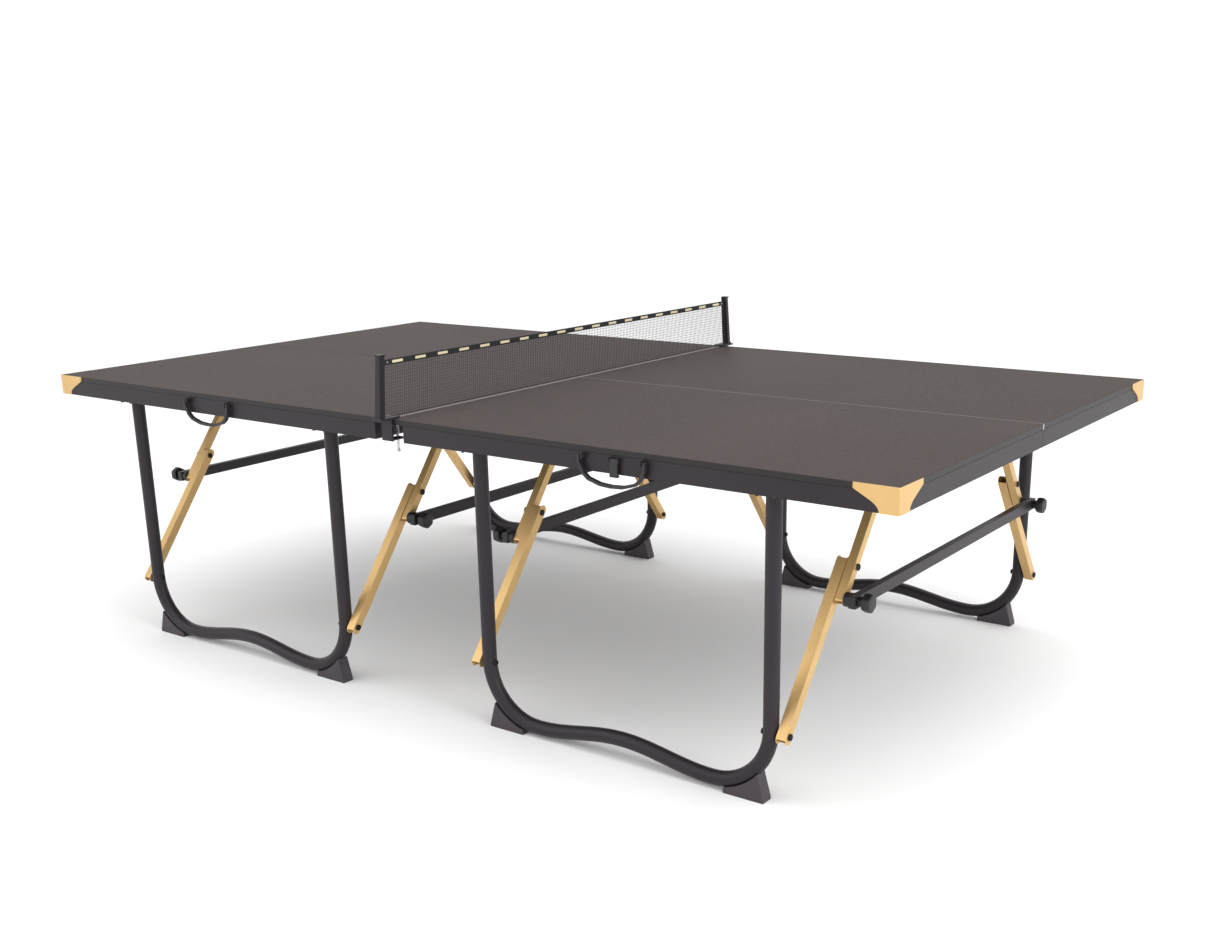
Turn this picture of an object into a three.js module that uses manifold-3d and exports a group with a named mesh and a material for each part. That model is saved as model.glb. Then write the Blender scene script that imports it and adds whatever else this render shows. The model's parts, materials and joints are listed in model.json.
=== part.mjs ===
// A folding ping pong table on two halves: four quarter panels, four U-shaped leg frames with
// two-link braces, crossbars held by hand screws, carry handles, a latch and a clamp-on net.
// Millimetres, +Z up. The origin is on the floor under the middle of the net. X runs along the
// table, Y across it, and every quarter is the near right one (X > 0, Y < 0), mirrored.
import * as THREE from "three";
import { mergeVertices } from "three/addons/utils/BufferGeometryUtils.js";
import Module from "manifold-3d";

const wasm = await Module();
wasm.setup();

// ---- driving dimensions -------------------------------------------------------------------
const tableLength = 2740;
const tableWidth = 1525;
const tableHeight = 760;
const fit = 0.3; // gap between pieces that touch
const seamGap = 1; // between neighbouring panels
const past = 1; // by which a cutter passes the face it opens

const boardThickness = 14;
const rimDepth = 42;
const rimSheet = 2;
const rimFlange = 22;
const rimInset = 48; // the rims stop short of the net line by this much
const railWidth = 30;
const railThickness = 4.5;
const bracketSheet = 3;
const pinEnd = 2; // of a bracket's pin, past the bracket

const guardSheet = 2;
const guardReach = 100; // along each edge, at the top
const guardFoot = 42; // along each edge, at the bottom
const guardTip = 12; // height of the guard's thin end
const guardBend = 24; // from the guard's foot to where its slope turns down
const guardDrop = 18; // of that slope

const legTube = 36;
const legWall = 1.5;
const tubeSides = 10;
const legSpread = 811; // between the two legs of a frame
const frameCentre = 663.5; // from the net line to the middle of a frame
const legInset = 42.5; // from the panel's long edge to the legs' centre plane
const pivotDrop = 47; // from the playing surface to the legs' pivots
const bendRadius = 150;
const tubeClearance = 6; // under the lowest part of the cross tube
const crestRise = 30; // of the wave in the cross tube
const legAbove = 13; // of the legs' open tops, over their pivots
const pivotBolt = 12;

const footLength = 105;
const footThickness = 34;
const footInset = 8; // from a leg's centre to the foot's outer edge, at the floor
const footFlare = 17; // of the outer face, from the tube down to the floor
const footLip = 7; // upright part of the outer face
const footCup = 3; // how far the foot rises round the tube

const linkSize = 25; // the lower, wider link
const upperSize = 21; // the upper link
const linkWall = 1.5;
const linkEnd = 20; // past the last bolt
const upperEnd = 16; // the same on the upper link
const linkStep = 1.5; // between the two links of a brace
const legToLink = 3; // between a leg and its lower link
const linkBolt = 10;
const boltHead = 16;
const boltHeadHeight = 3;
const braceBoltHeight = 167; // lower pivot of the brace, above the floor
const braceAnchor = 413.5; // from the leg pivot to the brace's upper pivot, across the table
const crossbarDrop = 78; // from the elbow bolt to the crossbar, along the upper link

const barHeight = 28;
const barWidth = 18;
const barWall = 1.5;
const barEnd = 18;
const spacerDiameter = 34;
const spacerLength = 15;
const studDiameter = 8;
const knobDiameter = 44;
const knobHeight = 20;
const knobNeck = 12;
const knobEdge = 5; // height of the slope at each rim of the knob

const handleCentre = 688;
const handleSpan = 178;
const handleDrop = 60;
const handleEar = 5; // thickness of the ears that carry it
const handleBelow = 8; // of its pivot, under the rim's top
const handleTop = 4; // of its arms, over the pivot
const handleArm = 14; // straight part of its arms, under the pivot
const handleBow = [[12, 22], [26, 11], [58, 2]]; // in from an arm, and up from the lowest point
const handleSection = 12;
const handleSheet = 7;
const handlePin = 6;
const handleGap = 5; // from the rim to the handle
const latchCentre = 693;
const latchWidth = 21;
const latchLength = 38;
const latchSheet = 6;
const latchPin = 5;
const latchGap = 3; // from the rim to the latch
const latchBelow = 9; // of its pivot, under the rim's top
const latchTop = 3; // of its plate, over the pivot
const latchEar = 3; // thickness of the ears that carry it
const latchLip = 2; // of the catch at its lower end

const netHeight = 144;
const netThickness = 4;
const netGap = 2; // under the net
const postOverhang = 29.5; // from the table's edge to the post's centre
const postBase = 22;
const postTop = 18;
const postDepth = 18;
const postLean = 14; // of the post's top, in over the table
const postAbove = 14; // above the net
const clampWidth = 36;
const clampSheet = 5;
const clampGap = 2; // from the boards' edges to the clamp
const lowerJawSheet = 4;
const clampDrop = 54; // from the playing surface to the underside of the lower jaw
const upperJawReach = 22; // of the upper jaw, in over the board
const clampReach = 42; // of the lower jaw, in under the board
const screwRod = 7;
const screwPad = 20;
const padThickness = 6.7;
const screwBall = 10; // knob at the screw's lower end
const screwInset = 13; // from the lower jaw's tip to the screw
const screwDrop = 34; // of the screw below the lower jaw

// ---- places worked out from them ----------------------------------------------------------
const halfLength = tableLength / 2;
const halfWidth = tableWidth / 2;
const boardUnder = tableHeight - boardThickness;
const rimTop = boardUnder - fit;
const rimBottom = boardUnder - rimDepth;
const pivotHeight = tableHeight - pivotDrop;
const legY = -(halfWidth - legInset);
const legX = frameCentre + legSpread / 2; // the leg at the table's end
const tubeLow = tubeClearance + legTube / 2;

// The brace's two links lie in one line when the leg stands, and again when it is folded flat.
const anchor = { y: legY + braceAnchor, z: pivotHeight };
const foot = { y: legY, z: braceBoltHeight };
const legReach = pivotHeight - braceBoltHeight;
const standing = Math.hypot(anchor.y - foot.y, anchor.z - foot.z);
const folded = Math.abs(anchor.y - (legY + legReach));
const upperLength = (standing - folded) / 2;
const down = { y: (foot.y - anchor.y) / standing, z: (foot.z - anchor.z) / standing };
const alongBrace = (distance) => ({
  y: anchor.y + down.y * distance,
  z: anchor.z + down.z * distance,
});
const hub = alongBrace(upperLength + crossbarDrop);

const lowerLinkX = legX + legTube / 2 + legToLink; // inner face of the lower link
const upperLinkX = lowerLinkX + linkSize + linkStep;
const spacerX = upperLinkX + upperSize + fit;
const barX = spacerX + spacerLength;
const knobX = barX + barWidth + fit;

// ---- shapes -------------------------------------------------------------------------------
const UP = new THREE.Vector3(0, 0, 1);

function solid(geometry) {
  const bare = geometry.index ? geometry.toNonIndexed() : geometry.clone();
  bare.deleteAttribute("normal");
  bare.deleteAttribute("uv");
  const merged = mergeVertices(bare, 1e-4);
  return new wasm.Manifold(
    new wasm.Mesh({
      numProp: 3,
      vertProperties: merged.attributes.position.array,
      triVerts: new Uint32Array(merged.index.array),
    }),
  );
}

function shell(manifold) {
  const mesh = manifold.getMesh();
  const geometry = new THREE.BufferGeometry();
  geometry.setAttribute("position", new THREE.BufferAttribute(mesh.vertProperties, 3));
  geometry.setIndex(new THREE.BufferAttribute(mesh.triVerts, 1));
  const faceted = geometry.toNonIndexed();
  faceted.computeVertexNormals();
  return faceted;
}

const join = (...solids) => solids.reduce((a, b) => a.add(b));
const cut = (body, ...tools) => tools.reduce((a, b) => a.subtract(b), body);

function block([x0, x1], [y0, y1], [z0, z1]) {
  const box = new THREE.BoxGeometry(Math.abs(x1 - x0), Math.abs(y1 - y0), Math.abs(z1 - z0));
  box.translate((x0 + x1) / 2, (y0 + y1) / 2, (z0 + z1) / 2);
  return solid(box);
}

// A round bar along X, between two places on it.
function rodX(diameter, [x0, x1], y, z, sides = 8) {
  const rod = new THREE.CylinderGeometry(diameter / 2, diameter / 2, Math.abs(x1 - x0), sides);
  rod.rotateZ(Math.PI / 2);
  rod.translate((x0 + x1) / 2, y, z);
  return solid(rod);
}

function rodZ(diameter, [z0, z1], x, y, sides = 8) {
  const rod = new THREE.CylinderGeometry(diameter / 2, diameter / 2, z1 - z0, sides);
  rod.rotateX(Math.PI / 2);
  rod.translate(x, y, (z0 + z1) / 2);
  return solid(rod);
}

// A profile drawn in X and Z, given thickness across the table from y0 to y1.
function slabY(shape, y0, y1, curveSegments = 6) {
  const depth = y1 - y0;
  const slab = new THREE.ExtrudeGeometry(shape, { depth, bevelEnabled: false, curveSegments });
  slab.rotateX(Math.PI / 2);
  slab.translate(0, y1, 0);
  return solid(slab);
}

// A profile drawn in Y and Z, given thickness along the table from x0 to x1.
function slabX(shape, x0, x1, curveSegments = 6) {
  const depth = x1 - x0;
  const slab = new THREE.ExtrudeGeometry(shape, { depth, bevelEnabled: false, curveSegments });
  slab.applyMatrix4(new THREE.Matrix4().makeBasis(
    new THREE.Vector3(0, 1, 0), UP, new THREE.Vector3(1, 0, 0)));
  slab.translate(x0, 0, 0);
  return solid(slab);
}

function ring(radius, sides) {
  const corners = [];
  for (let i = 0; i < sides; i += 1) {
    const turn = (2 * Math.PI * i) / sides;
    corners.push(new THREE.Vector2(radius * Math.cos(turn), radius * Math.sin(turn)));
  }
  return corners;
}

function rectangle(width, height) {
  const [w, h] = [width / 2, height / 2];
  const corners = [[-w, -h], [w, -h], [w, h], [-w, h]];
  return corners.map(([x, y]) => new THREE.Vector2(x, y));
}

// A path through stations that are as far apart as its bends allow.
class StationPath extends THREE.Curve {
  constructor(stations) {
    super();
    this.stations = stations;
  }

  getPoint(t, target = new THREE.Vector3()) {
    const last = this.stations.length - 1;
    const place = Math.min(Math.max(t, 0), 1) * last;
    const before = Math.min(Math.floor(place), last - 1);
    return target.lerpVectors(this.stations[before], this.stations[before + 1], place - before);
  }

  getUtoTmapping(u) {
    return u;
  }
}

function sweep(stations, outline, hole) {
  const shape = new THREE.Shape(outline);
  if (hole) shape.holes.push(new THREE.Path(hole));
  const steps = stations.length - 1;
  const extrudePath = new StationPath(stations);
  return solid(new THREE.ExtrudeGeometry(shape, { steps, extrudePath, bevelEnabled: false }));
}

// ---- panels -------------------------------------------------------------------------------
function board() {
  const x = [seamGap / 2, halfLength];
  const y = [-halfWidth, -seamGap / 2];
  return block(x, y, [boardUnder, tableHeight]);
}

// A sheet steel ring under the board, with flanges, a rail, brackets and the fixed pivot pins.
function rim(hasLatch, hasHandle) {
  const x = [rimInset, halfLength];
  const y = [-halfWidth, -seamGap / 2];
  const band = (margin, z, inner) => cut(
    block([x[0] + margin, x[1] - margin], [y[0] + margin, y[1] - margin], z),
    block([x[0] + inner[0], x[1] - inner[0]], [y[0] + inner[1], y[1] - inner[1]],
      [z[0] - past, z[1] + past]),
  );
  const walls = band(0, [rimBottom, rimTop], [rimSheet, rimSheet]);
  const topFlange = band(0, [rimTop - rimSheet, rimTop], [rimFlange, rimFlange]);
  const lowFlange = band(0, [rimBottom, rimBottom + rimSheet], [rimFlange, rimSheet]);
  const rail = block([x[0] + rimSheet / 2, x[1] - rimSheet / 2],
    [anchor.y - railWidth / 2, anchor.y + railWidth / 2], [rimTop - railThickness, rimTop]);
  let body = join(walls, topFlange, lowFlange, rail);
  for (const [leg, out] of [[legX, 1], [legX - legSpread, -1]]) {
    body = join(body, legBracket(leg), braceBracket(leg, out));
  }
  if (hasHandle) body = join(body, ...handleEars());
  if (hasLatch) body = join(body, ...latchEars());
  return body;
}

function legBracket(x) {
  const near = legTube / 2 + 2 * fit;
  const far = near + bracketSheet;
  const y = [-halfWidth + rimSheet / 2, legY + legTube / 2];
  const z = [pivotHeight - pivotBolt, rimTop];
  return join(
    block([x + near, x + far], y, z),
    block([x - far, x - near], y, z),
    rodX(pivotBolt, [x - far - pinEnd, x + far + pinEnd], legY, pivotHeight),
  );
}

function braceBracket(leg, out) {
  const from = (distance) => leg + out * (distance - legX);
  const outer = spacerX + bracketSheet;
  const z = [anchor.z - linkBolt, rimTop];
  const y = [anchor.y - railWidth / 2, anchor.y + railWidth / 2];
  return join(
    block([from(spacerX), from(outer)], y, z),
    rodX(linkBolt, [from(upperLinkX + fit), from(outer + pinEnd)], anchor.y, anchor.z),
  );
}

// A gold sheet wrap on the outer corner, with a curved inner edge on both faces.
function cornerGuard() {
  const plate = (length) => {
    const shape = new THREE.Shape();
    const edge = length + guardSheet + fit;
    const tip = tableHeight - guardTip;
    shape.moveTo(edge, rimBottom);
    shape.lineTo(edge, tableHeight);
    shape.lineTo(length - guardReach, tableHeight);
    shape.lineTo(length - guardReach, tip);
    const foot = length - guardFoot;
    const slopeEnd = tip - guardDrop;
    shape.lineTo(foot - guardBend, slopeEnd);
    shape.quadraticCurveTo(foot, slopeEnd - guardBend / 2, foot, rimBottom);
    return shape;
  };
  const face = halfWidth + fit;
  const nearFace = slabY(plate(halfLength), -face - guardSheet, -face);
  const endFace = slabX(plate(halfWidth), halfLength + fit, halfLength + fit + guardSheet);
  return join(nearFace, endFace.mirror([0, 1, 0]));
}

// ---- legs ---------------------------------------------------------------------------------
const bendStations = 5;

function legStations() {
  const stations = [];
  const at = (x, z) => stations.push(new THREE.Vector3(x, legY, z));
  const inner = legSpread / 2 - bendRadius;
  const waveSteps = 7;
  at(-legSpread / 2, pivotHeight + legAbove);
  for (let i = 0; i <= bendStations; i += 1) {
    const turn = (Math.PI / 2) * (i / bendStations);
    at(-inner - bendRadius * Math.cos(turn), tubeLow + bendRadius * (1 - Math.sin(turn)));
  }
  for (let i = 1; i < waveSteps; i += 1) {
    const share = i / waveSteps;
    const rise = (crestRise / 2) * (1 - Math.cos(2 * Math.PI * share));
    at(-inner + 2 * inner * share, tubeLow + rise);
  }
  for (let i = bendStations; i >= 0; i -= 1) {
    const turn = (Math.PI / 2) * (i / bendStations);
    at(inner + bendRadius * Math.cos(turn), tubeLow + bendRadius * (1 - Math.sin(turn)));
  }
  at(legSpread / 2, pivotHeight + legAbove);
  return stations.map((p) => p.setX(p.x + frameCentre));
}

function legFrame() {
  const radius = legTube / 2;
  let body = sweep(legStations(), ring(radius, tubeSides), ring(radius - legWall, 4));
  for (const [leg, out] of [[legX, 1], [legX - legSpread, -1]]) {
    const from = (place) => leg + out * (place - legX);
    const bore = rodX(pivotBolt + 4 * fit, [leg - radius - past, leg + radius + past],
      legY, pivotHeight);
    const boltEnd = lowerLinkX + linkSize + fit;
    const bolt = rodX(linkBolt, [from(legX - radius - boltHeadHeight), from(boltEnd)], foot.y, foot.z);
    const head = rodX(boltHead, [from(boltEnd), from(boltEnd + boltHeadHeight)], foot.y, foot.z);
    body = join(cut(body, bore), bolt, head);
  }
  return body;
}

// A wedge that fills the corner between the bend and the floor, cupped round the tube.
function floorFoot() {
  const centre = legX - bendRadius;
  const centreHeight = tubeLow + bendRadius;
  const outer = legX - footInset;
  const shoulder = outer - footFlare;
  const cup = bendRadius + legTube / 2 - footCup;
  const meet = (x) => centreHeight - Math.sqrt(cup ** 2 - (x - centre) ** 2);
  const inner = outer - footLength;
  const turn = (x) => Math.atan2(meet(x) - centreHeight, x - centre);
  const shape = new THREE.Shape();
  shape.moveTo(inner, 0);
  shape.lineTo(outer, 0);
  shape.lineTo(outer, footLip);
  shape.absarc(centre, centreHeight, cup, turn(shoulder), turn(inner), true);
  const wedge = slabY(shape, legY - footThickness / 2, legY + footThickness / 2, 5);
  const stations = legStations().slice(-bendStations - 2);
  return cut(wedge, sweep(stations, ring(legTube / 2 + 2 * fit, tubeSides)));
}

// ---- braces -------------------------------------------------------------------------------
// A square tube with round ends, lying along the standing brace between two of its places.
function linkTube(size, start, end, x, holes) {
  const half = size / 2;
  const length = end - start;
  const outline = new THREE.Shape();
  outline.absarc(length - half, 0, half, -Math.PI / 2, Math.PI / 2, false);
  outline.absarc(half, 0, half, Math.PI / 2, 1.5 * Math.PI, false);
  const slab = new THREE.ExtrudeGeometry(outline,
    { depth: size, bevelEnabled: false, curveSegments: 4 });
  const bore = size - 2 * linkWall;
  const inside = new THREE.BoxGeometry(length + 2 * past, bore, bore);
  inside.translate(length / 2, 0, size / 2);
  let body = cut(solid(slab), solid(inside));
  for (const place of holes) {
    const hole = new THREE.CylinderGeometry(
      linkBolt / 2 + 2 * fit, linkBolt / 2 + 2 * fit, size * 2, 8);
    hole.rotateX(Math.PI / 2);
    hole.translate(place - start, 0, size / 2);
    body = cut(body, solid(hole));
  }
  const geometry = shell(body);
  const along = new THREE.Vector3(0, down.y, down.z);
  const outward = new THREE.Vector3(1, 0, 0);
  const across = new THREE.Vector3().crossVectors(outward, along);
  geometry.applyMatrix4(new THREE.Matrix4().makeBasis(along, across, outward));
  const origin = alongBrace(start);
  geometry.translate(x, origin.y, origin.z);
  return solid(geometry);
}

function upperLink() {
  const elbow = alongBrace(upperLength);
  const end = upperLength + crossbarDrop + upperEnd;
  const tube = linkTube(upperSize, -upperEnd, end, upperLinkX, [0]);
  const face = upperLinkX + upperSize;
  const inside = face - linkWall - past;
  return join(tube, rodX(boltHead, [inside, face + boltHeadHeight], elbow.y, elbow.z));
}

function lowerLink() {
  const elbow = alongBrace(upperLength);
  const tube = linkTube(linkSize, upperLength - linkEnd, standing + linkEnd, lowerLinkX,
    [standing]);
  const nut = rodX(boltHead,
    [lowerLinkX - legToLink / 2, lowerLinkX + linkWall + past], elbow.y, elbow.z);
  return join(tube, nut);
}

// ---- crossbars and hand screws ------------------------------------------------------------
function crossbar() {
  const reach = Math.abs(hub.y) + barEnd;
  const z = [hub.z - barHeight / 2, hub.z + barHeight / 2];
  const bar = block([barX, barX + barWidth], [-reach, reach], z);
  const hollow = block([barX + barWall, barX + barWidth - barWall], [-reach - past, reach + past],
    [z[0] + barWall, z[1] - barWall]);
  let body = cut(bar, hollow);
  for (const side of [-1, 1]) {
    const y = side * Math.abs(hub.y);
    body = join(body, rodX(spacerDiameter, [spacerX, barX + past], y, hub.z, 12));
    body = cut(body, rodX(studDiameter + 4 * fit, [spacerX - past, knobX + past], y, hub.z));
  }
  return body;
}

function handScrew() {
  const profile = [
    [0, -(barWidth + spacerLength)],
    [studDiameter / 2, -(barWidth + spacerLength)],
    [studDiameter / 2, 0],
    [knobDiameter / 4, 0],
    [knobDiameter / 4, knobNeck],
    [knobDiameter / 2 - knobEdge, knobNeck],
    [knobDiameter / 2, knobNeck + knobEdge],
    [knobDiameter / 2, knobNeck + knobHeight - knobEdge],
    [knobDiameter / 2 - knobEdge, knobNeck + knobHeight],
    [0, knobNeck + knobHeight],
  ].map(([x, y]) => new THREE.Vector2(x, y));
  const knob = new THREE.LatheGeometry(profile, 10);
  knob.rotateZ(-Math.PI / 2);
  knob.translate(knobX, hub.y, hub.z);
  return solid(knob);
}

// ---- carry handle and latch ---------------------------------------------------------------
const handleY = -halfWidth - handleSheet / 2 - handleGap;
const handlePivot = rimTop - handleBelow;

function handleEars() {
  const ears = [];
  for (const side of [-1, 1]) {
    const outer = handleCentre + side * (handleSpan / 2 - handleSection / 2 - 2 * fit);
    const inner = outer - side * handleEar;
    const ear = block([inner, outer], [handleY - handlePin, -halfWidth + rimSheet / 2],
      [handlePivot - handlePin, handlePivot + handlePin]);
    const bore = rodX(handlePin + 2 * fit, [inner - side, outer + side], handleY, handlePivot);
    ears.push(cut(ear, bore));
  }
  return ears;
}

function carryHandle() {
  const half = handleSpan / 2;
  const drop = handlePivot - handleDrop;
  const arm = [
    [half, handlePivot + handleTop],
    [half, handlePivot - handleArm],
    ...handleBow.map(([inward, up]) => [half - inward, drop + up]),
  ];
  const outline = [...arm.map(([x, z]) => [-x, z]), [0, drop], ...arm.reverse()];
  const stations = outline.map(([x, z]) => new THREE.Vector3(handleCentre + x, handleY, z));
  let body = sweep(stations, rectangle(handleSection, handleSheet));
  for (const side of [-1, 1]) {
    const outer = handleCentre + side * half;
    body = join(body, rodX(handlePin, [outer - side * (handleSection + pinEnd), outer],
      handleY, handlePivot, 10));
  }
  return body;
}

const latchY = -halfWidth - latchSheet / 2 - latchGap;
const latchPivot = rimTop - latchBelow;

function latchEars() {
  return [-1, 1].map((side) => {
    const inner = latchCentre + side * (latchWidth / 2 + fit);
    const outer = inner + side * latchEar;
    const ear = block([inner, outer], [latchY - latchPin, -halfWidth + rimSheet / 2],
      [latchPivot - latchPin, latchPivot + latchPin]);
    const bore = [inner - side * past, outer + side * past];
    return cut(ear, rodX(latchPin + 2 * fit, bore, latchY, latchPivot, 10));
  });
}

function latch() {
  const [x0, x1] = [latchCentre - latchWidth / 2, latchCentre + latchWidth / 2];
  const low = latchPivot - latchLength;
  const shape = new THREE.Shape();
  const [back, front] = [latchY + latchSheet / 2, latchY - latchSheet / 2];
  shape.moveTo(back, latchPivot + latchTop);
  shape.lineTo(front, latchPivot + latchTop);
  shape.lineTo(front - latchLip / 2, low);
  shape.lineTo(back + latchLip, low);
  shape.lineTo(back + latchLip, low + 2 * latchLip);
  shape.lineTo(back, low + 3 * latchLip);
  const plate = slabX(shape, x0, x1);
  return join(plate, rodX(latchPin, [x0 - latchEar, x1 + latchEar], latchY, latchPivot, 10));
}

// ---- net ----------------------------------------------------------------------------------
const postY = halfWidth + postOverhang;
const postSeat = tableHeight + fit;
const postTip = tableHeight + netHeight + postAbove;
const leanAt = (z) => (postLean * (z - postSeat)) / (postTip - postSeat);

// A tapered post, leaning in, on a C-shaped clamp that grips the two boards at the net line.
function netPost() {
  const column = new THREE.Shape();
  column.moveTo(-postBase / 2, postSeat);
  column.lineTo(postBase / 2, postSeat);
  column.lineTo(postTop / 2, postTip);
  column.lineTo(-postTop / 2, postTip);
  const y = [-postY - postDepth / 2, -postY + postDepth / 2];
  const jaw = tableHeight - clampDrop;
  const web = -halfWidth - fit - clampGap;
  const under = -halfWidth + clampReach;
  const upperJaw = block([-clampWidth / 2, clampWidth / 2], [y[0], -halfWidth + upperJawReach],
    [postSeat, postSeat + clampSheet]);
  const webPlate = block([-clampWidth / 2, clampWidth / 2], [web - clampSheet, web],
    [jaw, postSeat + past]);
  const lowerJaw = block([-clampWidth / 3, clampWidth / 3], [web - past, under],
    [jaw, jaw + lowerJawSheet]);
  const post = slabY(column, y[0], y[1]).warp((point) => {
    point[1] += leanAt(point[2]);
  });
  const body = join(post, upperJaw, webPlate, lowerJaw);
  return cut(body, rodZ(screwRod + 4 * fit, [jaw - past, jaw + lowerJawSheet + past], 0,
    under - screwInset));
}

function clampScrew() {
  const y = -halfWidth + clampReach - screwInset;
  const low = tableHeight - clampDrop - screwDrop;
  const padTop = boardUnder - fit;
  const rod = rodZ(screwRod, [low + screwBall - 2, padTop - padThickness / 2], 0, y);
  const pad = rodZ(screwPad, [padTop - padThickness, padTop], 0, y, 10);
  const ball = new THREE.SphereGeometry(screwBall / 2, 8, 5);
  ball.translate(0, y, low + screwBall / 2);
  return join(rod, pad, solid(ball));
}

function net() {
  const end = postY - postDepth / 2 - fit;
  const [low, high] = [tableHeight + netGap, tableHeight + netHeight];
  const sheet = new THREE.Shape();
  sheet.moveTo(-end + leanAt(low), low);
  sheet.lineTo(end - leanAt(low), low);
  sheet.lineTo(end - leanAt(high), high);
  sheet.lineTo(-end + leanAt(high), high);
  const overJaw = tableHeight + clampSheet + 2 * fit;
  const jaws = [-1, 1].map((side) => block([-clampWidth, clampWidth],
    [side * (halfWidth - upperJawReach - fit), side * (end + 1)], [tableHeight, overJaw]));
  return cut(slabX(sheet, -netThickness / 2, netThickness / 2), ...jaws);
}

// ---- finishes -----------------------------------------------------------------------------
const finish = (color, roughness, metalness) =>
  new THREE.MeshStandardMaterial({ color, roughness, metalness });
const playingSurface = finish(0x4b4543, 0.55, 0);
const charcoal = finish(0x3b373c, 0.5, 0.3);
const gold = finish(0xd9ac62, 0.35, 0.8);
const blackPlastic = finish(0x2b2a2d, 0.6, 0);
const steel = finish(0x9a9a9c, 0.3, 1);
const mesh = finish(0x33302f, 0.9, 0);

// ---- the assembly -------------------------------------------------------------------------
const group = new THREE.Group();

function place(parent, name, body, material, mirrorX = false) {
  const piece = new THREE.Mesh(shell(body), material);
  piece.name = name;
  if (mirrorX) {
    piece.scale.x = -1;
    piece.position.x = 2 * frameCentre;
  }
  parent.add(piece);
}

const shared = {
  board: board(),
  guard: cornerGuard(),
  frame: legFrame(),
  foot: floorFoot(),
  upper: upperLink(),
  lower: lowerLink(),
  bar: crossbar(),
  screw: handScrew(),
};
const ends = [["end", false], ["net", true]];

for (const [half, sideX] of [["right", 1], ["left", -1]]) {
  for (const [side, sideY] of [["near", 1], ["far", -1]]) {
    const quarter = new THREE.Group();
    quarter.scale.set(sideX, sideY, 1);
    group.add(quarter);
    const where = side + "_" + half;
    const near = side === "near";
    place(quarter, "board_" + where, shared.board, playingSurface);
    place(quarter, "rim_" + where, rim(near && half === "right", near), charcoal);
    place(quarter, "corner_guard_" + where, shared.guard, gold);
    place(quarter, "leg_frame_" + where, shared.frame, charcoal);
    for (const [at, mirrored] of ends) {
      const spot = where + "_" + at;
      place(quarter, "foot_" + spot, shared.foot, blackPlastic, mirrored);
      place(quarter, "upper_link_" + spot, shared.upper, gold, mirrored);
      place(quarter, "lower_link_" + spot, shared.lower, gold, mirrored);
      place(quarter, "hand_screw_" + spot, shared.screw, blackPlastic, mirrored);
    }
  }
  const middle = new THREE.Group();
  middle.scale.x = sideX;
  group.add(middle);
  for (const [at, mirrored] of ends) {
    place(middle, "crossbar_" + half + "_" + at, shared.bar, charcoal, mirrored);
  }
  place(middle, "carry_handle_" + half, carryHandle(), blackPlastic);
}
place(group, "latch", latch(), blackPlastic);

for (const [side, sideY] of [["near", 1], ["far", -1]]) {
  const end = new THREE.Group();
  end.scale.y = sideY;
  group.add(end);
  place(end, "net_post_" + side, netPost(), charcoal);
  place(end, "clamp_screw_" + side, clampScrew(), steel);
}
place(group, "net", net(), mesh);

export default group;
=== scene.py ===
import json
import math

import bpy
from mathutils import Matrix, Vector


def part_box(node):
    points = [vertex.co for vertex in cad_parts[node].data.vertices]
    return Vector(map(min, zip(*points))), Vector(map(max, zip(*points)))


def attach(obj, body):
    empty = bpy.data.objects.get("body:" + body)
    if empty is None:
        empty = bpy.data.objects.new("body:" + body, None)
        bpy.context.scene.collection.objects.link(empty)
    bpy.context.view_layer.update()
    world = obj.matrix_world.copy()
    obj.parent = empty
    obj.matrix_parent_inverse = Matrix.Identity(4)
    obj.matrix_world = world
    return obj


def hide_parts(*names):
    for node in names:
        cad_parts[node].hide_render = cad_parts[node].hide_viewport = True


bl_info = {
    "name": "Folding Ping Pong Table",
    "version": (1, 0, 0),
    "blender": (4, 5, 0),
    "location": "View3D > Sidebar > Table",
    "description": "Dresses a folding ping pong table: boards, rims, legs, braces, hand screws and net",
    "category": "Add Mesh",
}

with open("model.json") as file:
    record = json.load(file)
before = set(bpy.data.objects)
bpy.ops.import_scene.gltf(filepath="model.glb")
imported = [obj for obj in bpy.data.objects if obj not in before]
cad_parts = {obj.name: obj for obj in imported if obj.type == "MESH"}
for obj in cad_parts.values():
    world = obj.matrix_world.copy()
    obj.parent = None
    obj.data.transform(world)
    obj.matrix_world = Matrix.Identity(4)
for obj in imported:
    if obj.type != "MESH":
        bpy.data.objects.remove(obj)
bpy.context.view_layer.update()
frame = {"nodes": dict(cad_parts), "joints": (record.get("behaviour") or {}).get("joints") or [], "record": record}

RECORD = frame["record"]
BODY_OF = {n: b for b, members in RECORD["behaviour"]["bodies"].items() for n in members}
SLOT_OF = {row["node"]: row["material_slot"] for row in RECORD["subparts"]}
PLACE_OF = {j["name"]: Vector(j["pos_m"]) for j in frame["joints"] if "pos_m" in j}

MM = 0.001
MERGE = 0.02 * MM
BOSS = 15 * MM  # length of the round boss between a link and its crossbar
HALVES = ("right", "left")
SIDES = ("near", "far")
ENDS = ("end", "net")
QUARTERS = [(side, half) for half in HALVES for side in SIDES]
PIVOT = PLACE_OF["leg_fold_near_right"]
HUB = PLACE_OF["crossbars_turn_right"]
BRACE_FOOT = PLACE_OF["lower_links_turn_near_right"]
BRACE_TOP = PLACE_OF["upper_links_turn_near_right"]

FACING = 0.7  # a face looks along an axis when its normal reaches this far along it
ROUND_SIDES = 24  # of a bolt head or a neck
BEVEL_ANGLE = math.radians(30)  # edges sharper than this are rounded
BEVEL_PROFILE = 0.6
FLAT_ANGLE = math.radians(0.5)  # faces that differ by less than this are merged

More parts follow.
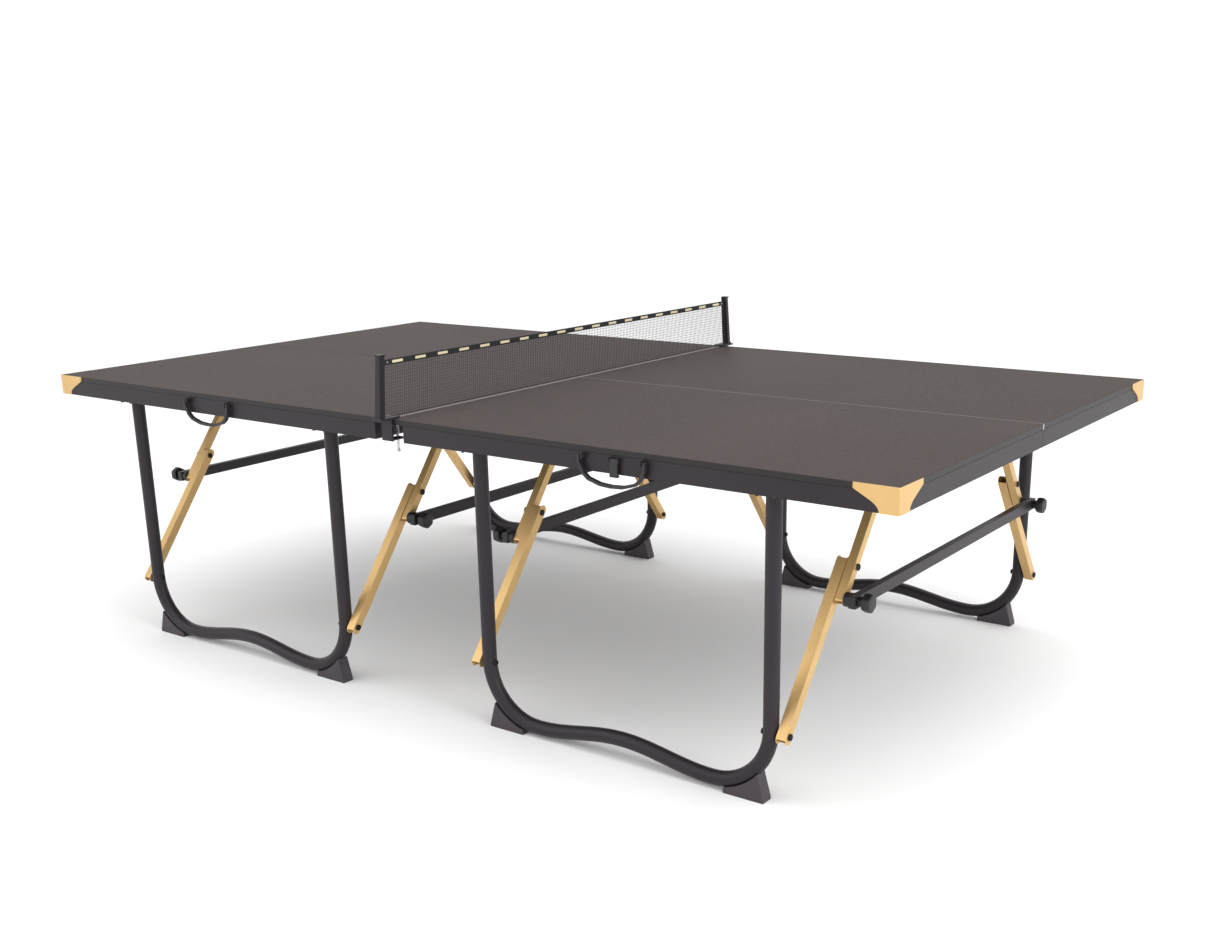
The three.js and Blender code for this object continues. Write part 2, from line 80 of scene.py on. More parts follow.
# Hand screws, turned towards the table's end.
KNOB_SIDES = 12
KNOB_DEPTH = 0.0195
KNOB_SWELL = 1.12  # of the blank's radius, since smoothing shrinks it
KNOB_VALLEY = 0.78  # radius between two lobes, as a share of the lobes'
KNOB_RING = 2.5 * MM  # flat ring round each face
KNOB_SLOPE = 6 * MM  # width of the slope inside the ring
KNOB_CROWN = 1.5 * MM  # rise of the outer face
KNOB_HOLLOW = 1 * MM  # depth of the inner face
KNOB_AXLE = 1 * MM  # points nearer the axis than this are left in place
NECK_RADIUS = 0.0115
NECK_GAP = 0.3 * MM  # from the crossbar
NECK_EDGE = 0.5 * MM
NECK_IN_KNOB = 4 * MM
STUD_RADIUS = 0.004
STUD_IN_NECK = 2 * MM

# Crossbars.
PLUG_HALF = (8 * MM, 3 * MM, 13 * MM)  # half the size of a bar's end plug
PLUG_INSET = 2.2 * MM  # from the bar's end to the plug's middle

# Bolt heads: how far each is sunk, and its height.
ELBOW_OUTER = (0.6 * MM, 4 * MM)
ELBOW_INNER = (1.5 * MM, 2.6 * MM)
FOOT_OUTER = (3.2 * MM, 4.5 * MM)
FOOT_INNER = (0.5 * MM, 5 * MM)
FOOT_INNER_SHARE = 0.9  # radius, as a share of the others'
HEAD_RING, HEAD_RISE = 0.45, 0.18  # shares of the radius and of the height
SOCKET_RING, SOCKET_DEPTH = 0.03, 0.5  # the same, for the socket
HEAD_EDGE = 0.25  # share of the smaller of the two

# Legs, guards and posts.
LEG_TOP_DROP = 6 * MM  # the tube's end, under a full radius above its pivot
BEND_STEPS, WAVE_STEPS = 14, 28
GUARD_EDGE = 3.5 * MM  # bevel of a guard's outer corner
GROOVE_BORDER = 3.2 * MM  # flat border round a post's groove
GROOVE_WALL = 0.8 * MM
GROOVE_DEPTH = 2.2 * MM
GROOVE_START = 20 * MM  # above the net's foot
POST_HALF = 14 * MM  # faces within this of the net's plane belong to the post

# Net.
NET_GAP = 1 * MM  # from the cloth's end to the net's
CLOTH_RISE = 3 * MM  # from the net's foot to the cloth
CLOTH_TUCK = 2 * MM  # of the cloth, into the band
BAND_HALF = 1.7 * MM
STITCH_FACES = (1.5 * MM, 2.4 * MM)  # inner and outer face, from the net's plane
STITCH_HALF = 3.2 * MM
RIVET_FACES = (1.4 * MM, 2.3 * MM)
RIVET_RADIUS = 2.6 * MM
RIVET_SIDES = 16
RIVET_INSET = 14 * MM  # from the band's end
HEM_RADIUS = 1.3 * MM

# Painted light on the boards: painted highlights along the seams, and the backdrop seen through the gap at the end
# apron.
CENTRE_SEAM_HIGHLIGHT_HALF = 0.0013  # half the width of the painted highlight along the seam between the near and far boards
END_GAP_LIGHT_HALF = 0.0022  # half the width of the pale tick where the seam meets the end apron: painted light, the white backdrop seen through the gap between the two end aprons
EDGE_FROM_X = 1.3  # the end apron lies beyond this
# share and colour of the painted highlights along the seams, then the colour of the painted light at the end
# apron's gap
SEAM_HIGHLIGHT_SHARE = 0.35
SEAM_HIGHLIGHT_COLOUR = (0.62, 0.58, 0.56)
END_GAP_LIGHT_COLOUR = (0.62, 0.60, 0.58)

STEEL = (0.018, 0.017, 0.018)
STEEL_DARK = (0.014, 0.013, 0.014)
STEEL_WORN = (0.06, 0.055, 0.055)
FOOT_TINT = 1.75  # the feet's plastic against the powder coat
NOISE_LOW, NOISE_HIGH = 0.3, 0.7  # the part of a noise's range that is used

# Stage.
FLOOR_SIZE = 60
FLOOR_COLOUR = (0.96, 0.96, 0.96)
SKY_STRENGTH = 1.06
LAMP_AIM = (0, 0, 0.5)
LAMPS = (  # name, place, size in metres, power in watts
    ("overhead", (0.5, 0.0, 5.0), 6.0, 80),
    ("front_left", (-3.5, -5.0, 3.4), 4.0, 70),
    ("right", (5.5, -1.0, 3.0), 3.5, 130),
)
CAMERA_PLACE = (2.499, -3.179, 1.388)
CAMERA_TURN = (125.68, -17.16, -0.78)  # heading, pitch and roll in degrees
CAMERA_LENS, CAMERA_SENSOR = 42.07, 36
CAMERA_SHIFT = (-0.0337, 0.0984)


class TableSizes(bpy.types.PropertyGroup):
    """Sizes of the pieces that are modelled here."""

    leg_tube: bpy.props.FloatProperty(
        name="Leg tube", description="Diameter of the bent leg tube", default=0.036, unit="LENGTH")
    leg_spread: bpy.props.FloatProperty(
        name="Leg spread", description="Between the two legs of a frame", default=0.811, unit="LENGTH")
    bend_radius: bpy.props.FloatProperty(
        name="Bend radius", description="Of the leg tube's centreline", default=0.150, unit="LENGTH")
    crest_rise: bpy.props.FloatProperty(
        name="Crest rise", description="Of the wave in the cross tube", default=0.030, unit="LENGTH")
    tube_clearance: bpy.props.FloatProperty(
        name="Tube clearance", description="Under the cross tube", default=0.006, unit="LENGTH")
    knob: bpy.props.FloatProperty(
        name="Knob", description="Diameter of a hand screw", default=0.044, unit="LENGTH")
    bolt_head: bpy.props.FloatProperty(
        name="Bolt head", description="Diameter of a brace bolt's head", default=0.016, unit="LENGTH")
    net_pitch: bpy.props.FloatProperty(
        name="Net pitch", description="Between the cords of the net", default=0.0075, unit="LENGTH")
    net_cord: bpy.props.FloatProperty(
        name="Net cord", description="Thickness of the net's cord", default=0.0012, unit="LENGTH")
    net_lean: bpy.props.FloatProperty(
        name="Net lean", description="How much shorter each end of the net is at its top",
        default=0.0127, unit="LENGTH")
    band_height: bpy.props.FloatProperty(
        name="Band height", description="Height of the net's top band", default=0.014, unit="LENGTH")
    dash_pitch: bpy.props.FloatProperty(
        name="Dash pitch", description="Between the lacing stitches on the band", default=0.080,
        unit="LENGTH")
    dash_length: bpy.props.FloatProperty(
        name="Dash length", description="Of a lacing stitch", default=0.036, unit="LENGTH")
    # Width of the painted highlight along the seam at the net.
    seam_highlight_width: bpy.props.FloatProperty(
        name="Seam highlight", description="Width of the pale edge along the net", default=0.005,
        unit="LENGTH")


def colour_property(name, description, default):
    return bpy.props.FloatVectorProperty(
        name=name, description=description, default=default, subtype="COLOR", size=3, min=0, max=1)


class TableColours(bpy.types.PropertyGroup):
    """Base colours of the finishes."""

    surface: colour_property("Surface", "Playing surface", (0.047, 0.0355, 0.0325))
    edge: colour_property("Edge", "Edge of the boards", (0.017, 0.0135, 0.014))
    charcoal: colour_property("Charcoal", "Powder coat of rims and legs", (0.021, 0.0160, 0.0200))
    gold: colour_property("Gold", "Paint of braces and corner guards", (0.64, 0.415, 0.17))
    plastic: colour_property("Plastic", "Knobs and handles", (0.011, 0.0105, 0.0115))
    zinc: colour_property("Zinc", "Plated screws", (0.62, 0.61, 0.60))
    cord: colour_property("Cord", "Net cord", (0.030, 0.026, 0.028))
    band: colour_property("Band", "Top band of the net", (0.010, 0.009, 0.010))
    stitch: colour_property("Stitch", "Lacing on the band", (0.66, 0.58, 0.38))


# ---- modelling ------------------------------------------------------------------------------

def sizes():
    return bpy.context.scene.table_sizes


def colours():
    return bpy.context.scene.table_colours


def select_only(*objects):
    if bpy.context.mode != "OBJECT":
        bpy.ops.object.mode_set(mode="OBJECT")
    bpy.ops.object.select_all(action="DESELECT")
    for piece in objects:
        piece.select_set(True)
    bpy.context.view_layer.objects.active = objects[0]


def apply_modifier(piece, kind, **settings):
    select_only(piece)
    modifier = piece.modifiers.new(kind.title(), kind)
    for key, value in settings.items():
        setattr(modifier, key, value)
    bpy.ops.object.modifier_apply(modifier=modifier.name)


def soften(piece, width, segments=2):
    """Rounds a piece's sharp edges and shades it smooth."""
    apply_modifier(piece, "BEVEL", width=width, segments=segments, limit_method="ANGLE",
                   angle_limit=BEVEL_ANGLE, use_clamp_overlap=True, profile=BEVEL_PROFILE)
    shade(piece)
    apply_modifier(piece, "WEIGHTED_NORMAL", keep_sharp=True)


def shade(piece, angle=40):
    select_only(piece)
    bpy.ops.object.shade_smooth_by_angle(angle=math.radians(angle))


def settle(piece):
    """Puts a piece's place into its mesh, and turns all its faces outwards."""
    select_only(piece)
    bpy.ops.object.transform_apply(location=True, rotation=True, scale=True)
    bpy.ops.object.mode_set(mode="EDIT")
    bpy.ops.mesh.select_all(action="SELECT")
    bpy.ops.mesh.normals_make_consistent(inside=False)
    bpy.ops.object.mode_set(mode="OBJECT")


def object_mode():
    bpy.ops.object.mode_set(mode="OBJECT")


def clear_picks(piece, kind):
    """Leaves a piece in object mode with none of its points or faces selected."""
    select_only(piece)
    bpy.ops.object.mode_set(mode="EDIT")
    bpy.ops.mesh.select_mode(type=kind)
    bpy.ops.mesh.select_all(action="DESELECT")
    object_mode()


def pick_faces(piece, wanted):
    """Selects the faces that wanted(centre, normal) is true for, and enters edit mode."""
    clear_picks(piece, "FACE")
    for face in piece.data.polygons:
        face.select = wanted(face.center, face.normal)
    bpy.ops.object.mode_set(mode="EDIT")


def pick_points(piece, wanted):
    """Selects the points that wanted(place) is true for, and enters edit mode."""
    clear_picks(piece, "VERT")
    for point in piece.data.vertices:
        point.select = wanted(point.co)
    bpy.ops.object.mode_set(mode="EDIT")


def paint(piece, finish, *more):
    """Gives a piece its finish, and each (finish, wanted) pair the faces it is wanted on."""
    piece.data.materials.clear()
    piece.data.materials.append(finish)
    for face in piece.data.polygons:
        face.material_index = 0
    for other, wanted in more:
        piece.data.materials.append(other)
        slot = len(piece.data.materials) - 1
        for face in piece.data.polygons:
            if wanted(face.center, face.normal):
                face.material_index = slot


def cuboid(name, low, high):
    """A box between two corners, as a start for shaping."""
    low, high = Vector(low), Vector(high)
    bpy.ops.object.select_all(action="DESELECT")
    bpy.ops.mesh.primitive_cube_add(size=1, location=(low + high) / 2)
    piece = bpy.context.object
    piece.name = name
    piece.scale = high - low
    bpy.ops.object.transform_apply(location=True, rotation=True, scale=True)
    return piece


def cylinder(name, radius, low, high, sides=ROUND_SIDES):
    """A round bar along X, given by its two end centres."""
    low, high = Vector(low), Vector(high)
    bpy.ops.object.select_all(action="DESELECT")
    bpy.ops.mesh.primitive_cylinder_add(
        vertices=sides, radius=radius, depth=(high - low).length, location=(low + high) / 2,
        rotation=(0, math.pi / 2, 0))
    piece = bpy.context.object
    piece.name = name
    bpy.ops.object.transform_apply(location=True, rotation=True, scale=True)
    return piece


def join(name, *pieces):
    select_only(*pieces)
    bpy.ops.object.join()
    piece = bpy.context.object
    piece.name = name
    return piece


def mirrored(piece, name, across, about=(0, 0, 0)):
    """A copy with its own mesh, mirrored across the planes through a point."""
    select_only(piece)
    bpy.ops.object.duplicate()
    copy = bpy.context.object
    copy.name = name
    copy.scale = across
    copy.location = [p * (1 - s) for p, s in zip(about, across)]
    settle(copy)
    return copy


def merged(node, name):
    """A CAD piece's shape with merged faces."""
    mesh = frame["nodes"][node].data.copy()
    mesh.materials.clear()
    piece = bpy.data.objects.new(name, mesh)
    bpy.context.scene.collection.objects.link(piece)
    select_only(piece)
    bpy.ops.mesh.customdata_custom_splitnormals_clear()
    bpy.ops.object.mode_set(mode="EDIT")
    bpy.ops.mesh.select_all(action="SELECT")
    bpy.ops.mesh.remove_doubles(threshold=MERGE)
    bpy.ops.mesh.dissolve_limited(angle_limit=FLAT_ANGLE)
    bpy.ops.mesh.vert_connect_concave()
    bpy.ops.mesh.normals_make_consistent(inside=False)
    object_mode()
    return piece


def refined(node, name, bevel, segments=2):
    """A CAD piece's shape with merged faces and its edges rounded."""
    piece = merged(node, name)
    soften(piece, bevel, segments)
    return piece


def fix(piece, node, replaced=True):
    """Hangs a piece on the body of a CAD node, and hides that node when the piece replaces it."""
    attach(piece, BODY_OF[node])
    SLOT_OF[node]
    if replaced:
        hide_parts(node)


# ---- shader maths -----------------------------------------------------------------------------

class Signal:
    """A socket that can be used in arithmetic."""

    def __init__(self, finish, socket):
        self.finish = finish
        self.socket = socket

    def maths(self, operation, first, second=None):
        values = {0: first} if second is None else {0: first, 1: second}
        return self.finish.node("ShaderNodeMath", {"operation": operation}, values)["Value"]

    def __add__(self, other):
        return self.maths("ADD", self, other)

    def __mul__(self, other):
        return self.maths("MULTIPLY", self, other)

    def __lt__(self, other):
        return self.maths("LESS_THAN", self, other)

    def __gt__(self, other):
        return self.maths("GREATER_THAN", self, other)

    def __abs__(self):
        return self.maths("ABSOLUTE", self)


class Outputs:
    """A node's outputs by name."""

    def __init__(self, finish, made):
        self.finish = finish
        self.made = made

    def __getitem__(self, name):
        return Signal(self.finish, self.made.outputs[name])


class Finish:
    """A material under construction, with object coordinates at hand."""

    def __init__(self, name, base, roughness, metallic=0.0, gloss=0.5):
        self.material = bpy.data.materials.new(name)
        self.material.use_nodes = True
        self.tree = self.material.node_tree
        self.shader = self.tree.nodes["Principled BSDF"]
        self.shader.inputs["Base Color"].default_value = (*base, 1)
        self.shader.inputs["Roughness"].default_value = roughness
        self.shader.inputs["Metallic"].default_value = metallic
        self.shader.inputs["Specular IOR Level"].default_value = gloss
        self.place = self.node("ShaderNodeTexCoord", {}, {})["Object"]

    def node(self, kind, settings, values):
        made = self.tree.nodes.new(kind)
        for key, value in settings.items():
            setattr(made, key, value)
        for key, value in values.items():
            if isinstance(value, Signal):
                self.tree.links.new(value.socket, made.inputs[key])
            else:
                made.inputs[key].default_value = value
        return Outputs(self, made)

    def stretched(self, scale):
        return self.node("ShaderNodeMapping", {}, {"Vector": self.place, "Scale": scale})["Vector"]

    def noise(self, scale, detail=3.0, rough=0.5, vector=None):
        values = {"Vector": vector or self.place, "Scale": scale, "Detail": detail,
                  "Roughness": rough}
        return self.node("ShaderNodeTexNoise", {}, values)["Fac"]

    def spread(self, signal, low, high, to_low=0.0, to_high=1.0):
        values = {"Value": signal, "From Min": low, "From Max": high, "To Min": to_low,
                  "To Max": to_high}
        return self.node("ShaderNodeMapRange", {}, values)["Result"]

    def mix(self, factor, a, b):
        as_colour = [c if isinstance(c, Signal) else (*c, 1) for c in (a, b)]
        made = self.tree.nodes.new("ShaderNodeMix")
        made.data_type = "RGBA"
        sockets = [made.inputs["Factor"], *[s for s in made.inputs if s.type == "RGBA"]]
        for socket, value in zip(sockets, [factor, *as_colour]):
            if isinstance(value, Signal):
                self.tree.links.new(value.socket, socket)
            else:
                socket.default_value = value
        return Signal(self, next(s for s in made.outputs if s.type == "RGBA"))

    def feed(self, name, signal):
        self.tree.links.new(signal.socket, self.shader.inputs[name])

    def vary_roughness(self, signal, to_low, to_high):
        self.feed("Roughness", self.spread(signal, NOISE_LOW, NOISE_HIGH, to_low, to_high))

    def bump(self, height, strength, distance):
        values = {"Height": height, "Strength": strength, "Distance": distance}
        self.feed("Normal", self.node("ShaderNodeBump", {}, values)["Normal"])


def tinted(base, factor):
    return tuple(min(1.0, c * factor) for c in base)


def playing_surface():
    base = tuple(colours().surface)
    finish = Finish("playing_surface", base, roughness=0.6, gloss=0.12)
    cloud = finish.noise(scale=2.2, detail=4, rough=0.6)
    grain = finish.noise(scale=900, detail=2, rough=0.6)
    roller = finish.noise(scale=160, detail=3, rough=0.55)
    x, y, _ = axes(finish)
    # Painted highlights: a pale band along the seam at the net, and a pale line along the seam between the near
    # and far boards on the right half.
    seam = abs(x) < sizes().seam_highlight_width
    centre = (abs(y) < CENTRE_SEAM_HIGHLIGHT_HALF) * (x > 0)
    body = finish.mix(finish.spread(cloud, low=0.35, high=0.65), tinted(base, 0.93), tinted(base, 1.07))
    speckled = finish.mix(finish.spread(grain, NOISE_LOW, NOISE_HIGH) * 0.25, body, tinted(base, 1.25))
    seam_highlit = finish.mix(seam * SEAM_HIGHLIGHT_SHARE + centre * SEAM_HIGHLIGHT_SHARE, speckled, SEAM_HIGHLIGHT_COLOUR)
    finish.feed("Base Color", seam_highlit)
    finish.vary_roughness(roller, 0.54, 0.66)
    finish.bump(roller * 0.6 + grain * 0.4, strength=0.18, distance=0.0004)
    return finish.material


def axes(finish):
    split = finish.node("ShaderNodeSeparateXYZ", {}, {"Vector": finish.place})
    return split["X"], split["Y"], split["Z"]


def board_edge():
    base = tuple(colours().edge)
    finish = Finish("board_edge", base, roughness=0.42, gloss=0.3)
    grain = finish.noise(scale=500, detail=3, rough=0.6)
    cloud = finish.noise(scale=9, detail=3, rough=0.5)
    x, y, _ = axes(finish)
    # Painted light: a pale tick on the end apron where the white backdrop shows through the gap between the two
    # end aprons.
    end_gap_light = (abs(y) < END_GAP_LIGHT_HALF) * (x > EDGE_FROM_X)
    band = finish.mix(cloud, tinted(base, 0.85), tinted(base, 1.2))
    finish.feed("Base Color", finish.mix(end_gap_light, band, END_GAP_LIGHT_COLOUR))
    finish.vary_roughness(grain, 0.36, 0.5)
    finish.bump(grain, strength=0.15, distance=0.0003)
    return finish.material


def powder_coat():
    base = tuple(colours().charcoal)
    finish = Finish("charcoal_powder_coat", base, roughness=0.42, metallic=0.1, gloss=0.3)
    peel = finish.noise(scale=420, detail=2, rough=0.5)
    fleck = finish.noise(scale=1500, detail=2, rough=0.7)
    cloud = finish.noise(scale=4, detail=3, rough=0.5)
    body = finish.mix(finish.spread(cloud, NOISE_LOW, NOISE_HIGH), tinted(base, 0.9), tinted(base, 1.12))
    finish.feed("Base Color", finish.mix(finish.spread(fleck, low=0.62, high=0.8) * 0.5, body,
                                         tinted(base, 2.2)))
    finish.vary_roughness(peel, 0.36, 0.48)
    finish.bump(peel, strength=0.22, distance=0.0004)
    return finish.material


def gold_paint():
    base = tuple(colours().gold)
    finish = Finish("gold_paint", base, roughness=0.38, metallic=0.55)
    fleck = finish.noise(scale=1800, detail=2, rough=0.7)
    peel = finish.noise(scale=350, detail=2, rough=0.5)
    cloud = finish.noise(scale=7, detail=3, rough=0.5)
    body = finish.mix(finish.spread(cloud, NOISE_LOW, NOISE_HIGH), tinted(base, 0.92), tinted(base, 1.08))
    finish.feed("Base Color", finish.mix(finish.spread(fleck, low=0.55, high=0.75) * 0.35, body,
                                         tinted(base, 1.35)))
    finish.vary_roughness(peel, 0.32, 0.44)
    finish.bump(peel, strength=0.12, distance=0.0003)
    return finish.material


def moulded_plastic(name="moulded_plastic", base=None):
    base = base or tuple(colours().plastic)
    finish = Finish(name, base, roughness=0.5)
    grain = finish.noise(scale=800, detail=3, rough=0.6)
    cloud = finish.noise(scale=30, detail=2, rough=0.5)
    finish.feed("Base Color", finish.mix(cloud, tinted(base, 0.8), tinted(base, 1.35)))
    finish.vary_roughness(grain, 0.42, 0.6)
    finish.bump(grain, strength=0.25, distance=0.0003)
    return finish.material


def zinc_plate():
    base = tuple(colours().zinc)
    finish = Finish("zinc_plate", base, roughness=0.3, metallic=1.0)
    streak = finish.noise(scale=60, detail=4, rough=0.6, vector=finish.stretched((1, 1, 14)))
    finish.feed("Base Color", finish.mix(streak, tinted(base, 0.8), tinted(base, 1.1)))
    finish.vary_roughness(streak, 0.22, 0.42)
    finish.bump(streak, strength=0.1, distance=0.0002)
    return finish.material


def black_steel():
    finish = Finish("blackened_steel", STEEL, roughness=0.32, metallic=0.7)
    wear = finish.noise(scale=240, detail=4, rough=0.6)
    finish.feed("Base Color", finish.mix(finish.spread(wear, low=0.55, high=0.75),
                                         STEEL_DARK, STEEL_WORN))
    finish.vary_roughness(wear, 0.25, 0.42)
    return finish.material


def net_cord():
    base = tuple(colours().cord)
    finish = Finish("net_cord", base, roughness=0.85)
    twist = finish.noise(scale=700, detail=2, rough=0.6, vector=finish.stretched((1, 1, 0.25)))
    finish.feed("Base Color", finish.mix(twist, tinted(base, 0.7), tinted(base, 1.5)))
    finish.bump(twist, strength=0.4, distance=0.0002)
    return finish.material


def weave(name, base, thread, scale):
    """A plain weave: two sets of threads that cross over each other."""
    finish = Finish(name, base, roughness=0.85)
    _, y, z = axes(finish)
    over = finish.node("ShaderNodeMath", {"operation": "SINE"}, {0: y * thread})["Value"]
    under = finish.node("ShaderNodeMath", {"operation": "SINE"}, {0: z * thread})["Value"]
    cross = over * under
    fuzz = finish.noise(scale, detail=3, rough=0.6)
    lit = finish.spread(cross, low=-1.0, high=1.0) * 0.6 + fuzz * 0.4
    finish.feed("Base Color", finish.mix(lit, tinted(base, 0.65), tinted(base, 1.4)))
    finish.bump(lit, strength=0.5, distance=0.0003)
    return finish.material


# ---- pieces -----------------------------------------------------------------------------------

class PieceOperator:
    """What the operators share: they undo, and each runs its make."""

    bl_options = {"REGISTER", "UNDO"}

    def execute(self, context):
        self.make(context)
        return {"FINISHED"}


class TABLE_OT_boards(PieceOperator, bpy.types.Operator):
    """The four boards, with rounded arrises"""

    bl_idname = "table.boards"
    bl_label = "Boards"

    def make(self, context):
        top, edge = playing_surface(), board_edge()
        for side, half in QUARTERS:
            node = f"board_{side}_{half}"
            piece = cuboid(f"top_{side}_{half}", *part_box(node))
            soften(piece, width=1.0 * MM, segments=3)
            paint(piece, edge, (top, lambda centre, normal: normal.z > FACING))
            fix(piece, node)


class TABLE_OT_rims(PieceOperator, bpy.types.Operator):
    """The steel rims under the boards"""

    bl_idname = "table.rims"
    bl_label = "Rims"

    def make(self, context):
        coat, black = powder_coat(), black_steel()
        for side, half in QUARTERS:
            node = f"rim_{side}_{half}"
            piece = refined(node, f"steel_rim_{side}_{half}", bevel=0.5 * MM)
            paint(piece, coat)
            fix(piece, node)


class TABLE_OT_corner_guards(PieceOperator, bpy.types.Operator):
    """The gold guards on the outer corners"""

    bl_idname = "table.corner_guards"
    bl_label = "Corner guards"

    def make(self, context):
        gold = gold_paint()
        for side, half in QUARTERS:
            node = f"corner_guard_{side}_{half}"
            piece = merged(node, f"guard_{side}_{half}")
            low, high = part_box(node)
            corner_x = high.x if half == "right" else low.x
            corner_y = low.y if side == "near" else high.y
            pick_points(piece, lambda p: abs(p.x - corner_x) + abs(p.y - corner_y) < 0.1 * MM)
            bpy.ops.mesh.bevel(offset=GUARD_EDGE, segments=5, affect="EDGES")
            object_mode()
            soften(piece, width=0.8 * MM, segments=3)
            paint(piece, gold)
            fix(piece, node)


def leg_path():
    """Points down one leg, round both bends and over the wave of the cross tube."""
    s = sizes()
    inner = s.leg_spread / 2 - s.bend_radius
    low = s.tube_clearance + s.leg_tube / 2
    top = PIVOT.z + s.leg_tube / 2 - LEG_TOP_DROP
    half = [(-s.leg_spread / 2, top)]
    for i in range(BEND_STEPS + 1):
        turn = math.pi / 2 * i / BEND_STEPS
        half.append((-inner - s.bend_radius * math.cos(turn),
                     low + s.bend_radius * (1 - math.sin(turn))))
    middle = []
    for i in range(1, WAVE_STEPS):
        share = i / WAVE_STEPS
        rise = s.crest_rise / 2 * (1 - math.cos(2 * math.pi * share))
        middle.append((-inner + 2 * inner * share, low + rise))
    other = [(-x, z) for x, z in reversed(half)]
    return [Vector((PIVOT.x + x, PIVOT.y, z)) for x, z in half + middle + other]


def tube(name, points, radius, resolution):
    """A round tube through points, as a mesh with capped ends."""
    curve = bpy.data.curves.new(name, "CURVE")
    curve.dimensions = "3D"
    curve.bevel_depth = radius
    curve.bevel_resolution = resolution
    curve.use_fill_caps = True
    line = curve.splines.new("POLY")
    line.points.add(len(points) - 1)
    for point, place in zip(line.points, points):
        point.co = (*place, 1)
    piece = bpy.data.objects.new(name, curve)
    bpy.context.scene.collection.objects.link(piece)
    select_only(piece)
    bpy.ops.object.convert(target="MESH")
    piece = bpy.context.object
    piece.name = name
    return piece


class TABLE_OT_leg_frames(PieceOperator, bpy.types.Operator):
    """The four bent tube leg frames"""

    bl_idname = "table.leg_frames"
    bl_label = "Leg frames"

    def make(self, context):
        coat = powder_coat()
        first = tube("leg_tube_near_right", leg_path(), sizes().leg_tube / 2, resolution=10)
        settle(first)
        paint(first, coat)
        shade(first)
        for side, half in QUARTERS:
            piece = place_quarter(first, "leg_tube", side, half)
            fix(piece, f"leg_frame_{side}_{half}")


def place_quarter(first, word, side, half, end=""):
    """A copy of a near right piece for another quarter, or the piece itself."""
    name = "_".join(filter(None, (word, side, half, end)))
    across = (1 if half == "right" else -1, 1 if side == "near" else -1, 1)
    if across == (1, 1, 1):
        return first
    return mirrored(first, name, across)


def across_frame(first, name):
    """A copy of a piece at the end leg, mirrored to the leg nearer the net."""
    return mirrored(first, name, (-1, 1, 1), Vector((PIVOT.x, 0, 0)))


class TABLE_OT_feet(PieceOperator, bpy.types.Operator):
    """The wedge feet in the corners of the leg frames"""

    bl_idname = "table.feet"
    bl_label = "Feet"

    def make(self, context):
        plastic = moulded_plastic("foot_plastic", tinted(colours().charcoal, FOOT_TINT))
        for side, half in QUARTERS:
            for end in ENDS:
                node = f"foot_{side}_{half}_{end}"
                piece = refined(node, f"wedge_{side}_{half}_{end}", bevel=1.5 * MM, segments=3)
                paint(piece, plastic)
                fix(piece, node)


class TABLE_OT_links(PieceOperator, bpy.types.Operator):
    """The gold links of the braces"""

    bl_idname = "table.links"
    bl_label = "Brace links"

    def make(self, context):
        gold = gold_paint()
        for side, half in QUARTERS:
            for end in ENDS:
                for kind in ("upper", "lower"):
                    node = f"{kind}_link_{side}_{half}_{end}"
                    piece = refined(node, f"{kind}_brace_{side}_{half}_{end}", bevel=0.7 * MM, segments=2)
                    paint(piece, gold)
                    fix(piece, node)


class TABLE_OT_crossbars(PieceOperator, bpy.types.Operator):
    """The crossbars between the near and far braces"""

    bl_idname = "table.crossbars"
    bl_label = "Crossbars"

    def make(self, context):
        coat, plastic = powder_coat(), moulded_plastic()
        for half in HALVES:
            for end in ENDS:
                node = f"crossbar_{half}_{end}"
                piece = refined(node, f"bar_{half}_{end}", bevel=1.2 * MM, segments=3)
                low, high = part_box(node)
                outward = 1 if (half == "right") == (end == "end") else -1
                hidden = BOSS if outward > 0 else -BOSS
                start = (low.x if outward > 0 else high.x) + hidden

                def on_boss(centre, normal):
                    return (centre.x - start) * outward < 0

                middle = start + outward * (high.x - low.x - BOSS) / 2
                across, along, up = PLUG_HALF
                plugs = [cuboid("plug", (middle - across, y - along, HUB.z - up),
                                (middle + across, y + along, HUB.z + up))
                         for y in (low.y + PLUG_INSET, high.y - PLUG_INSET)]
                plug = join("plugs", *plugs)
                soften(plug, width=1.2 * MM, segments=2)
                paint(plug, plastic)
                paint(piece, coat, (plastic, on_boss))
                piece = join(piece.name, piece, plug)
                fix(piece, node)


